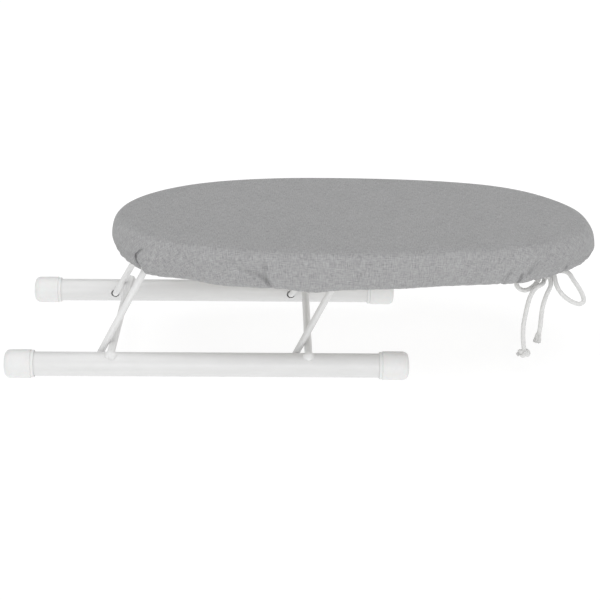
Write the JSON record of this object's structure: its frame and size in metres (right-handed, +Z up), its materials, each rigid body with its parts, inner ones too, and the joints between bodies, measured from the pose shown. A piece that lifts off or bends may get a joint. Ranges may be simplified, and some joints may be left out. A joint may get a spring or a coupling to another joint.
{
  "type": "table-top ironing board",
  "caption": "Small oval table-top ironing board with a grey drawstring cover, on wire legs that fold down onto a pair of capped tubular skids.",
  "frame": {"origin": "on the table, midway along the whole length and midway between the two skids", "axes": "+X towards the nose of the board, +Y towards the rear skid, +Z up"},
  "size_m": [0.617, 0.292, 0.145],
  "materials": {
    "white_enamel": "satin white powder coat",
    "white_wire": "satin white powder coat",
    "white_plastic": "fine satin moulded",
    "zinc": "bright zinc plate",
    "fibreboard": "primed pale fibreboard",
    "felt": "needled felt",
    "grey_cover": "matt heather-grey plain weave",
    "cotton_cord": "braided cotton"
  },
  "bodies": {
    "base": {"front_skid_tube": "white_enamel", "rear_skid_tube": "white_enamel", "front_left_cap": "white_plastic", "front_right_cap": "white_plastic", "rear_left_cap": "white_plastic", "rear_right_cap": "white_plastic", "left_stop_bar": "white_wire", "right_stop_bar": "white_wire"},
    "left_leg": {"left_leg_frame": "white_wire"},
    "right_leg": {"right_leg_frame": "white_wire"},
    "board": {"left_front_clip": "zinc", "left_front_clip_screw_heel_side": "zinc", "left_front_clip_screw_nose_side": "zinc", "left_rear_clip": "zinc", "left_rear_clip_screw_heel_side": "zinc", "left_rear_clip_screw_nose_side": "zinc", "right_front_clip": "zinc", "right_front_clip_screw_heel_side": "zinc", "right_front_clip_screw_nose_side": "zinc", "right_rear_clip": "zinc", "right_rear_clip_screw_heel_side": "zinc", "right_rear_clip_screw_nose_side": "zinc", "board_core": "fibreboard", "felt_pad": "felt", "cover": "grey_cover", "hem_drawstring": "cotton_cord", "bow_knot": "cotton_cord", "bow_left_lead": "cotton_cord", "bow_right_lead": "cotton_cord", "bow_left_loop": "cotton_cord", "bow_right_loop": "cotton_cord", "bow_left_tail": "cotton_cord", "bow_right_tail": "cotton_cord", "left_tail_knot": "cotton_cord", "right_tail_tuft": "cotton_cord"}
  },
  "joints": [
    {"name": "left_leg_fold", "type": "hinge", "parent": "base", "child": "left_leg", "pos_m": [-0.215, 0, 0.01475], "axis": [0, -1, 0], "range_deg": [0, 101]},
    {"name": "right_leg_fold", "type": "hinge", "parent": "base", "child": "right_leg", "pos_m": [-0.013, 0, 0.01475], "axis": [0, -1, 0], "range_deg": [0, 101]},
    {"name": "board_swing", "type": "hinge", "parent": "left_leg", "child": "board", "pos_m": [-0.15449, 0, 0.12527], "axis": [0, -1, 0], "range_deg": [-101, 0], "deforming": ["bow_knot", "bow_left_lead", "bow_right_lead", "bow_left_loop", "bow_right_loop", "bow_left_tail", "bow_right_tail", "left_tail_knot", "right_tail_tuft"]}
  ],
  "couplings": [
    {"joint": "right_leg_fold", "follows": "left_leg_fold", "ratio": 1},
    {"joint": "board_swing", "follows": "left_leg_fold", "ratio": -1}
  ]
}
